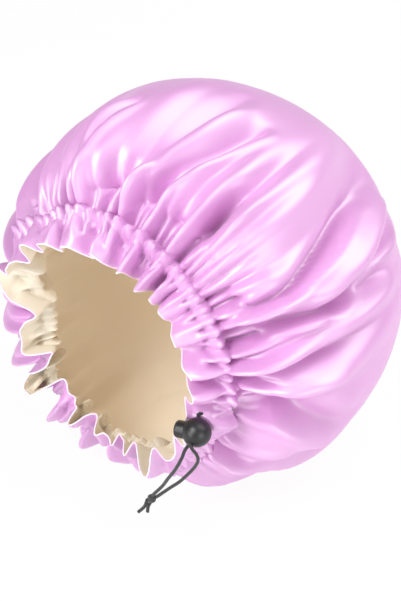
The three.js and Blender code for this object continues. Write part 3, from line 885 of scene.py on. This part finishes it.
def clear_of_cord(points, past, side, ridges):
    """The outer layer pushed out, or the lining in, to where it lies over the cord in the
    casing and puffs up between its creases."""
    angle = np.degrees(np.arctan2(points[..., 2] - axis_height, points[..., 0]))
    radius, forward = from_axis(points), -points[..., 1]
    cord = band_place(angle, channel_share, 0)
    outward = band_place(angle, channel_share, mm) - cord
    out_radius = (from_axis(cord + outward) - from_axis(cord)) / mm
    out_forward = -outward[..., 1] / mm
    cord_out = radius - from_axis(cord)
    cord_ahead = forward + cord[..., 1]
    away = cord_out * out_radius + cord_ahead * out_forward
    beside = cord_ahead * out_radius - cord_out * out_forward
    over_cord = (cord_diameter / 2 + cord_cover) * hump(beside, cover_half_width) ** cover_flatness
    crests = ridges if side > 0 else np.clip(1 - ridges, 0, 1)
    need = over_cord + puff_height * crests * hump(beside, casing_length / 2) ** puff_flatness
    body_reach = casing_length if side > 0 else stitch_margin
    over = smooth(casing_length / 2 - np.abs(beside), mm) * smooth(past + body_reach, stitch_margin)
    over = over * smooth(cover_end - past, mm)
    short = over * np.maximum(need - side * away, 0)
    return place(angle, radius + side * short * out_radius, forward + side * short * out_forward)


lock_give = 1.6 * mm
plunger_reach = 14.2 * mm
plunger_radius = 5.5 * mm
facing_sharpness = 3


def clear_of_lock(points, side):
    """The frill gives way round the lock, and the layer on the lock's side lies next to it."""
    lock, way = np.array(lock_place), np.array(button_way)
    along = np.clip(np.sum((points - lock) * way, axis=-1), 0, plunger_reach)
    nearest = lock + along[..., None] * way
    away = points - nearest
    distance = np.maximum(np.linalg.norm(away, axis=-1), least_length)
    facing = np.clip(facing_sharpness * np.sum(away * layer_ways, axis=-1) / distance, -1, 1)
    depth = cloth_depth + side * facing * (cloth_depth - cloth_thickness)
    need = ball_radius + (plunger_radius - ball_radius) * smooth(along, ball_radius) + lock_give + depth
    pushed = nearest + away * (need / distance)[..., None]
    return np.where((distance < need)[..., None], pushed, points)


weld_distance = 0.002 * mm


def cloth_mesh(name, points, past):
    """A cloth layer from a grid that is closed round the opening and at the crown's middle.
    Its map is the flat circle that it was cut from."""
    rows, columns = points.shape[:2]
    bm = bmesh.new()
    bm.loops.layers.uv.new("cut_circle")
    bmesh.ops.create_grid(bm, x_segments=columns, y_segments=rows - 1, size=half_grid, calc_uvs=True)
    mesh = mesh_from(bm, name)
    flat = np.empty(len(mesh.vertices) * 3, np.float32)
    mesh.vertices.foreach_get("co", flat)
    flat = flat.reshape(-1, 3)
    column = np.round((flat[:, 0] + half_grid) * columns).astype(int)
    row = np.round((flat[:, 1] + half_grid) * (rows - 1)).astype(int)
    mesh.vertices.foreach_set("co", points[row, column % columns].astype(np.float32).ravel())
    corner = np.empty(len(mesh.loops), np.int32)
    mesh.loops.foreach_get("vertex_index", corner)
    out = (past[:, 0] + crown_run + front_run)[row] / cut_width
    turn = 2 * np.pi * column / columns
    cut = np.stack([0.5 + out * np.cos(turn), 0.5 + out * np.sin(turn)], axis=-1)
    mesh.uv_layers[0].data.foreach_set("uv", cut[corner].astype(np.float32).ravel())
    bm = bmesh.new()
    bm.from_mesh(mesh)
    bmesh.ops.remove_doubles(bm, verts=bm.verts, dist=weld_distance)
    bm.to_mesh(mesh)
    bm.free()
    return mesh


broad_waves = 7
swell_kept = 0.15
inset_share = 0.9
drawn_rise = 25 * mm


def broad(values):
    """What is left of values round the opening without anything narrow."""
    waves = np.fft.rfft(values, axis=1)
    waves[:, broad_waves:] = 0
    return np.fft.irfft(waves, n=values.shape[1], axis=1)


def drawn_in(points, plain, from_rim):
    """The body's folds cut in from its puffed form, with their ridges about on it."""
    normals = grid_normals(plain)
    out = np.sum((points - plain) * normals, axis=-1)
    spread = np.sqrt(np.maximum(broad((out - broad(out)) ** 2), 0))
    back = broad(out) * (1 - swell_kept) + inset_share * spread
    return points - normals * (back * smooth(from_rim, drawn_rise))[..., None]


# The middle surface, with the shown folds, its rounded corners and the fold over the strands.
turns, past_rows = np.meshgrid(np.linspace(0, 360, columns + 1)[:-1], cloth_rows())
angles = cloth_angle(turns)
from_rims = np.maximum(-past_rows, 0)
middle_points, plain_points, gather_ridges = cloth_form(turns, past_rows)
middle_points = drawn_in(middle_points, plain_points, from_rims)
radii = body_form(angles, from_rims)[0]
floor_free = smooth(middle_points[..., 2], floor_fade)
plain_ways = grid_normals(plain_points)
middle_points = middle_points + plain_ways * (
    shown_lift(angles, from_rims, radii) * (past_rows < 0) * smooth(from_rims, shown_start) * floor_free
)[..., None]
middle_points = rounded_edge(eased(middle_points, past_rows), past_rows)
feed_fold_height = 14 * mm
feed_fold_reach = 20 * mm
feed_fold_flatness = 0.6
feed_fold_start = 6 * mm
feed_fold_rise = 5 * mm
from_feeds = np.linalg.norm(middle_points - np.array(in_casing(0, **hole_mouth)), axis=-1)
feed_fold = feed_fold_height * hump(from_feeds, feed_fold_reach) ** feed_fold_flatness
feed_fold = feed_fold * smooth(past_rows + feed_fold_start, feed_fold_rise)
middle_points = middle_points + plain_ways * feed_fold[..., None]

# The two layers lie to either side of it, half along the plain body's normals in the casing.
plain_most = 0.5
plain_end = 0.8 * casing_length
plain_share = plain_most * (1 - smooth(past_rows - plain_end, frill_length / 2))[..., None]
layer_ways = unit(plain_ways * plain_share + grid_normals(middle_points) * (1 - plain_share))
gap = layer_gap(past_rows)[..., None]


def layer(side, rest_height):
    points = clear_of_cord(middle_points + side * layer_ways * gap / 2, past_rows, side, gather_ridges)
    points = np.where((past_rows > 0)[..., None], clear_of_lock(points, side), points)
    points[..., 2] = np.maximum(points[..., 2], rest_height)
    return points


def cloth_piece(name, points, material):
    piece = add_piece(name, cloth_mesh(name, points, past_rows))
    piece.data.materials.append(material)
    return piece


outer_points = layer(1, rest_height=0.3 * mm)


def blush(material, deep, pale):
    """The cloth's colour, a little uneven over 80 mm patches as dye and pressing leave it."""
    tree = material.node_tree
    place_node = add_node(tree, "ShaderNodeTexCoord")
    patches = add_node(tree, "ShaderNodeTexNoise", Vector=place_node.outputs["Object"],
                       Scale=12.0, Detail=2.0)
    tone = add_node(tree, "ShaderNodeMix", data_type="RGBA", Factor=patches.outputs[0],
                    i6=deep, i7=pale)
    drive(material, "Base Color", tone.outputs[2])


# These scales draw about 100 wrinkles round the bonnet, each some 27 mm long. A real satin's
# floats of 0.25 mm are too fine to show, so the weave's lines are drawn 0.6 mm apart.
wrinkles_round = 10.0
wrinkles_out = 16.0
wrinkle_scale = 1.6
weave_scale = 630.0
weave_depth = 0.03 * mm
rim_out = (crown_run + front_run) / cut_width
wrinkle_start = 0.7 * rim_out


def satin_relief(material, wrinkle_height):
    """Fine wrinkles that run out from the gathers, and the lines of the satin's weave."""
    tree = material.node_tree
    disk = add_node(tree, "ShaderNodeUVMap", uv_map="cut_circle")
    centred = add_node(tree, "ShaderNodeVectorMath", operation="SUBTRACT", i0=disk.outputs[0],
                       i1=(0.5, 0.5, 0))
    way = add_node(tree, "ShaderNodeVectorMath", operation="NORMALIZE", i0=centred.outputs[0])
    out = add_node(tree, "ShaderNodeVectorMath", operation="LENGTH", i0=centred.outputs[0])
    round_way = add_node(tree, "ShaderNodeVectorMath", operation="SCALE", i0=way.outputs[0],
                         Scale=wrinkles_round)
    down = add_node(tree, "ShaderNodeMath", operation="MULTIPLY", i0=out.outputs["Value"],
                    i1=wrinkles_out)
    along = add_node(tree, "ShaderNodeCombineXYZ", Z=down.outputs[0])
    spot = add_node(tree, "ShaderNodeVectorMath", operation="ADD", i0=round_way.outputs[0],
                    i1=along.outputs[0])
    wrinkles = add_node(tree, "ShaderNodeTexNoise", Vector=spot.outputs[0], Scale=wrinkle_scale, Detail=4.0,
                        Distortion=0.6)
    near = add_node(tree, "ShaderNodeMapRange", Value=out.outputs["Value"], From_Min=wrinkle_start,
                    From_Max=rim_out, To_Min=0.02, To_Max=1.0)
    tall = add_node(tree, "ShaderNodeMath", operation="MULTIPLY", i0=wrinkles.outputs[0],
                    i1=near.outputs[0])
    creased = add_node(tree, "ShaderNodeBump", Strength=1.0, Distance=wrinkle_height, Height=tall.outputs[0])
    place_node = add_node(tree, "ShaderNodeTexCoord")
    weave = add_node(tree, "ShaderNodeTexWave", wave_type="BANDS", bands_direction="DIAGONAL",
                     Vector=place_node.outputs["Object"], Scale=weave_scale, Distortion=1.5)
    woven = add_node(tree, "ShaderNodeBump", Strength=0.15, Distance=weave_depth, Height=weave.outputs[1],
                     Normal=creased.outputs[0])
    drive(material, "Normal", woven.outputs[0])


light_passed = 0.1


def let_light_through(material, colour):
    """Thin cloth passes some of the light that falls on its far side."""
    tree = material.node_tree
    shader = tree.nodes["Principled BSDF"]
    through = add_node(tree, "ShaderNodeBsdfTranslucent", Color=colour)
    both = add_node(tree, "ShaderNodeMixShader", i0=light_passed, i1=shader.outputs[0], i2=through.outputs[0])
    tree.links.new(both.outputs[0], tree.nodes["Material Output"].inputs["Surface"])


# Orchid satin: long floats of yarn give broad, soft highlights and pale edges to the folds.
satin = new_material("orchid_polyester_satin", Roughness=0.48, IOR=2.1, Specular_IOR_Level=1.0,
                     Sheen_Weight=0.2, Sheen_Roughness=0.5, Sheen_Tint=linear("#fff0ff"))
blush(satin, linear("#d287ce"), linear("#dea4da"))
satin_relief(satin, wrinkle_height=1.3 * mm)
let_light_through(satin, linear("#f0b4ec"))

outer = cloth_piece("outer_satin", outer_points, satin)
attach(outer, "bonnet")
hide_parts("outer_crown", "outer_band")

# Lining: the second circle, cream satin, inside the first. Only its frill and the far inside
# show.
inner_points = layer(-1, rest_height=1.2 * mm)

# Cream satin: the same weave undyed, with a warmer and weaker shine.
cream = new_material("cream_polyester_satin", Roughness=0.42, Sheen_Weight=0.15)
blush(cream, linear("#f0e6d0"), linear("#f9f4e8"))
satin_relief(cream, wrinkle_height=0.9 * mm)
let_light_through(cream, linear("#fbe6bd"))
lining = cloth_piece("lining_satin", inner_points, cream)
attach(lining, "bonnet")
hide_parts("lining_crown", "lining_band")

# Edge seam and stitch rows: the two circles are turned out at the edge, which leaves a rolled
# seam, and two rows of lockstitch hold the casing, with pink thread outside and cream inside.
seam_radius = 0.5 * mm
stitch_length = 2.6 * mm
stitch_gap = 0.7 * mm
thread_radius = 0.19 * mm
stitch_rows = [-0.6 * mm, casing_length]
stitch_stations = np.array([0, 0.15, 0.5, 0.85, 1])
stitch_rise = np.array([-1, 0.5, 1, 0.5, -1])


def closed_path(points):
    return [Vector(point) for point in [*points.tolist(), points[0].tolist()]]


# Turned edge: a pale pink-cream, partly the cream lining rolled out over the seam and partly a painted
# highlight along the edge, and duller than the flat satin.
edge_satin_with_painted_highlight = new_material("turned_satin_edge_painted_highlight", Base_Color=linear("#f3dcef"), Roughness=0.5)
seam_route = closed_path(clear_of_lock(middle_points, 0)[-1])
seam = cord_tube("rolled_edge_seam", seam_route, seam_radius, edge_satin_with_painted_highlight, closed_ends=False)
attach(seam, "bonnet")


def stitch_row(splines, points, normals, thread_index):
    """Stitches of even length along a closed row of the cloth."""
    ring = np.vstack([points, points[:1]])
    faces = np.vstack([normals, normals[:1]])
    run = np.concatenate([[0], np.cumsum(np.linalg.norm(np.diff(ring, axis=0), axis=1))])
    for start in np.arange(0, run[-1] - stitch_length, stitch_length + stitch_gap):
        at = start + stitch_length * stitch_stations
        middle, face = (
            np.stack([np.interp(at, run, values[:, axis]) for axis in range(3)], axis=1)
            for values in (ring, faces)
        )
        spline = splines.new("POLY")
        spline.material_index = thread_index
        spline.points.add(len(at) - 1)
        sewn = middle + face * (thread_radius * stitch_rise)[:, None]
        spline.points.foreach_set("co", np.hstack([sewn, np.ones((len(at), 1))]).ravel())


# Spun polyester threads: the colour of the cloth on each side, but duller.
thread = new_material("pink_polyester_thread", Base_Color=linear("#e3a5df"), Roughness=0.6, Sheen_Weight=0.3)
bobbin_thread = new_material("cream_polyester_thread", Base_Color=linear("#efe4cc"), Roughness=0.6)
stitches = bpy.data.curves.new("stitch_rows", "CURVE")
stitches.dimensions = "3D"
stitches.bevel_depth = thread_radius
stitches.bevel_resolution = 1
stitches.use_fill_caps = True
stitches.materials.append(thread)
stitches.materials.append(bobbin_thread)
for past in stitch_rows:
    row = int(np.argmin(np.abs(past_rows[:, 0] - past)))
    stitch_row(stitches.splines, outer_points[row], grid_normals(outer_points)[row], 0)
    stitch_row(stitches.splines, inner_points[row], -grid_normals(inner_points)[row], 1)
stitching = bpy.data.objects.new("stitch_rows", stitches)
bpy.context.scene.collection.objects.link(stitching)
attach(stitching, "bonnet")

# Floor and light: a pale studio sweep of matt white paper under broad soft lamps. The camera
# sees the paper and the sky as white, and only weaker light from both falls on the bonnet.
floor_half_width = 6
floor_glow = 0.93
sky_share = 0.23
bm = bmesh.new()
bmesh.ops.create_grid(bm, x_segments=1, y_segments=1, size=floor_half_width)
floor_mesh = mesh_from(bm, "studio_floor")
floor = bpy.data.objects.new("studio_floor", floor_mesh)
bpy.context.scene.collection.objects.link(floor)
paper = new_material("white_paper", Base_Color=(0.95, 0.95, 0.95, 1), Roughness=1)
tree = paper.node_tree
seen = add_node(tree, "ShaderNodeLightPath")
bare = seen.outputs["Is Camera Ray"]
for ray in ("Is Glossy Ray", "Is Transmission Ray"):
    either = add_node(tree, "ShaderNodeMath", operation="MAXIMUM", i0=bare, i1=seen.outputs[ray])
    bare = either.outputs[0]
glow = add_node(tree, "ShaderNodeMath", operation="MULTIPLY", i0=bare, i1=floor_glow)
white = add_node(tree, "ShaderNodeEmission", Color=(1, 1, 1, 1), Strength=1.0)
both = add_node(tree, "ShaderNodeMixShader", i0=glow.outputs[0],
                i1=tree.nodes["Principled BSDF"].outputs[0], i2=white.outputs[0])
tree.links.new(both.outputs[0], tree.nodes["Material Output"].inputs["Surface"])
floor_mesh.materials.append(paper)

world = bpy.data.worlds.new("studio")
bpy.context.scene.world = world
world.use_nodes = True
sky = world.node_tree
sky.nodes["Background"].inputs["Color"].default_value = (1, 1, 1, 1)
sky_seen = add_node(sky, "ShaderNodeLightPath")
sky_strength = add_node(sky, "ShaderNodeMapRange", Value=sky_seen.outputs["Is Camera Ray"], To_Min=sky_share)
sky.links.new(sky_strength.outputs[0], sky.nodes["Background"].inputs["Strength"])


def soft_lamp(name, at, size, power):
    light = bpy.data.lights.new(name, "AREA")
    light.size = size
    light.energy = power
    lamp = bpy.data.objects.new(name, light)
    bpy.context.scene.collection.objects.link(lamp)
    lamp.location = at
    lamp.rotation_mode = "QUATERNION"
    lamp.rotation_quaternion = (view_target - at).to_track_quat("-Z", "Y")


front_place = view_target + view_back * 1.2 + view_up * 0.4 - view_right * 0.7
low_place = view_target + view_back * 0.9 + view_right * 0.6 - view_up * 0.5
soft_lamp("key_lamp", Vector((0.5, 0.55, 1.25)), size=1.3, power=18)
soft_lamp("front_lamp", front_place, size=0.5, power=13)
soft_lamp("opening_lamp", Vector((-0.25, -1.25, 0.4)), size=0.6, power=7)
soft_lamp("low_lamp", low_place, size=0.7, power=6)
cavity_light = bpy.data.lights.new("cavity_lamp", "POINT")
cavity_light.energy = 0.125
cavity_light.shadow_soft_size = 60 * mm
cavity_light.color = (1, 0.84, 0.66)
cavity_light.specular_factor = 0
cavity_lamp = bpy.data.objects.new("cavity_lamp", cavity_light)
cavity_lamp.location = (0, 15 * mm, 130 * mm)
bpy.context.scene.collection.objects.link(cavity_lamp)

bpy.context.scene.view_settings.view_transform = "Standard"
